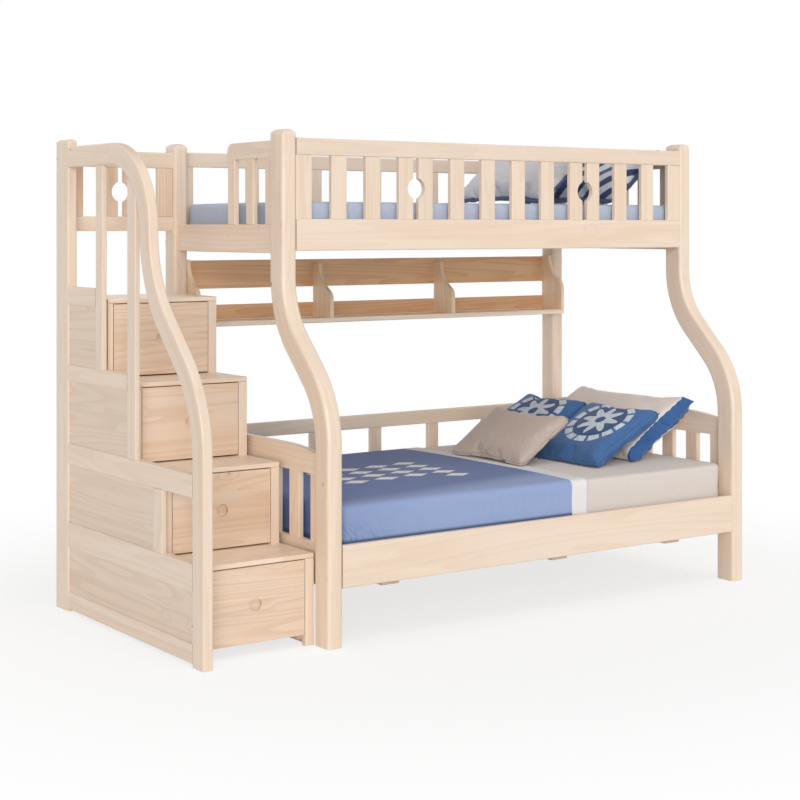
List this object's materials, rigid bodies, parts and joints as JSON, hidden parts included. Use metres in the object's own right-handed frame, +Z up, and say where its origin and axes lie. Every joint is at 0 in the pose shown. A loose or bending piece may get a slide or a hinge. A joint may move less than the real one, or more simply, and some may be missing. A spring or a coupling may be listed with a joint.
{
  "type": "bunk bed",
  "caption": "Wide-over-narrow pine bunk bed with S-curved front posts, a bookcase under the upper berth and a staircase of drawers; bedding included.",
  "frame": {"origin": "on the floor, under the middle of the whole bed", "axes": "+X along the bed from the stairs to the head end, +Y from the open front to the wall side, +Z up"},
  "size_m": [2.641, 1.291, 1.896],
  "materials": {
    "pine_posts": "clear satin lacquer on finger-jointed pine",
    "pine_rails": "clear satin lacquer on pine boards",
    "pine_slats": "clear satin lacquer on pine slats",
    "pine_panels": "clear satin lacquer on pine panels",
    "pine_inner": "planed pine without lacquer",
    "zinc_steel": "zinc plated",
    "sheet_fabric": "woven cotton sheet over foam",
    "upper_sheet": "woven cotton sheet over foam",
    "spread_fabric": "printed cotton twill",
    "beige_fabric": "woven cotton with a blue flange",
    "blue_fabric": "printed cotton with a piped edge",
    "taupe_fabric": "slub cotton with a piped edge",
    "grey_fabric": "woven cotton",
    "striped_fabric": "cotton with printed diagonal stripes"
  },
  "bodies": {
    "bed_frame": {"post_front_left": "pine_posts", "post_front_right": "pine_posts", "post_back_left": "pine_posts", "post_back_right": "pine_posts", "lower_front_rail": "pine_rails", "lower_back_rail": "pine_rails", "lower_end_rails": "pine_rails", "lower_end_arches": "pine_rails", "lower_end_slats": "pine_slats", "lower_back_top_rail": "pine_rails", "lower_back_uprights": "pine_slats", "upper_front_rail": "pine_rails", "upper_back_rail": "pine_rails", "upper_end_rails": "pine_rails", "upper_front_top_rail": "pine_rails", "upper_front_slats": "pine_slats", "upper_back_top_rail": "pine_rails", "upper_back_uprights": "pine_slats", "upper_end_top_rails": "pine_rails", "upper_end_slats": "pine_slats", "slat_ledgers": "pine_inner", "lower_bearers": "pine_inner", "lower_slats": "pine_inner", "upper_slats": "pine_inner", "shelf_board": "pine_panels", "shelf_uprights": "pine_slats", "shelf_back_boards": "pine_panels", "stair_back_post": "pine_posts", "newel_post": "pine_posts", "handrail": "pine_posts", "stair_side_rails": "pine_rails", "stair_side_panels": "pine_panels", "balusters": "pine_slats", "stair_treads": "pine_panels", "stair_stiles": "pine_rails", "cabinet_sides": "pine_panels", "stair_back_panel": "pine_inner", "drawer_runners": "pine_inner", "stair_guard_rails": "pine_rails", "stair_guard_slats": "pine_slats", "bed_bolts": "zinc_steel", "barrel_nuts": "zinc_steel", "mattress_lower": "sheet_fabric", "mattress_upper": "upper_sheet", "bedspread": "spread_fabric", "pillow_beige": "beige_fabric", "pillow_blue_front": "blue_fabric", "pillow_blue_back": "blue_fabric", "pillow_taupe": "taupe_fabric", "pillow_grey": "grey_fabric", "pillow_striped": "striped_fabric"},
    "drawer_1": {"drawer_front_1": "pine_panels", "drawer_box_1": "pine_inner"},
    "drawer_2": {"drawer_front_2": "pine_panels", "drawer_box_2": "pine_inner"},
    "drawer_3": {"drawer_front_3": "pine_panels", "drawer_box_3": "pine_inner"},
    "drawer_4": {"drawer_front_4": "pine_panels", "drawer_box_4": "pine_inner"}
  },
  "joints": [
    {"name": "drawer_1_slide", "type": "slide", "parent": "bed_frame", "child": "drawer_1", "axis": [0, -1, 0], "range_m": [0, 0.4]},
    {"name": "drawer_2_slide", "type": "slide", "parent": "bed_frame", "child": "drawer_2", "axis": [0, -1, 0], "range_m": [0, 0.4]},
    {"name": "drawer_3_slide", "type": "slide", "parent": "bed_frame", "child": "drawer_3", "axis": [0, -1, 0], "range_m": [0, 0.4]},
    {"name": "drawer_4_slide", "type": "slide", "parent": "bed_frame", "child": "drawer_4", "axis": [0, -1, 0], "range_m": [0, 0.26]}
  ]
}
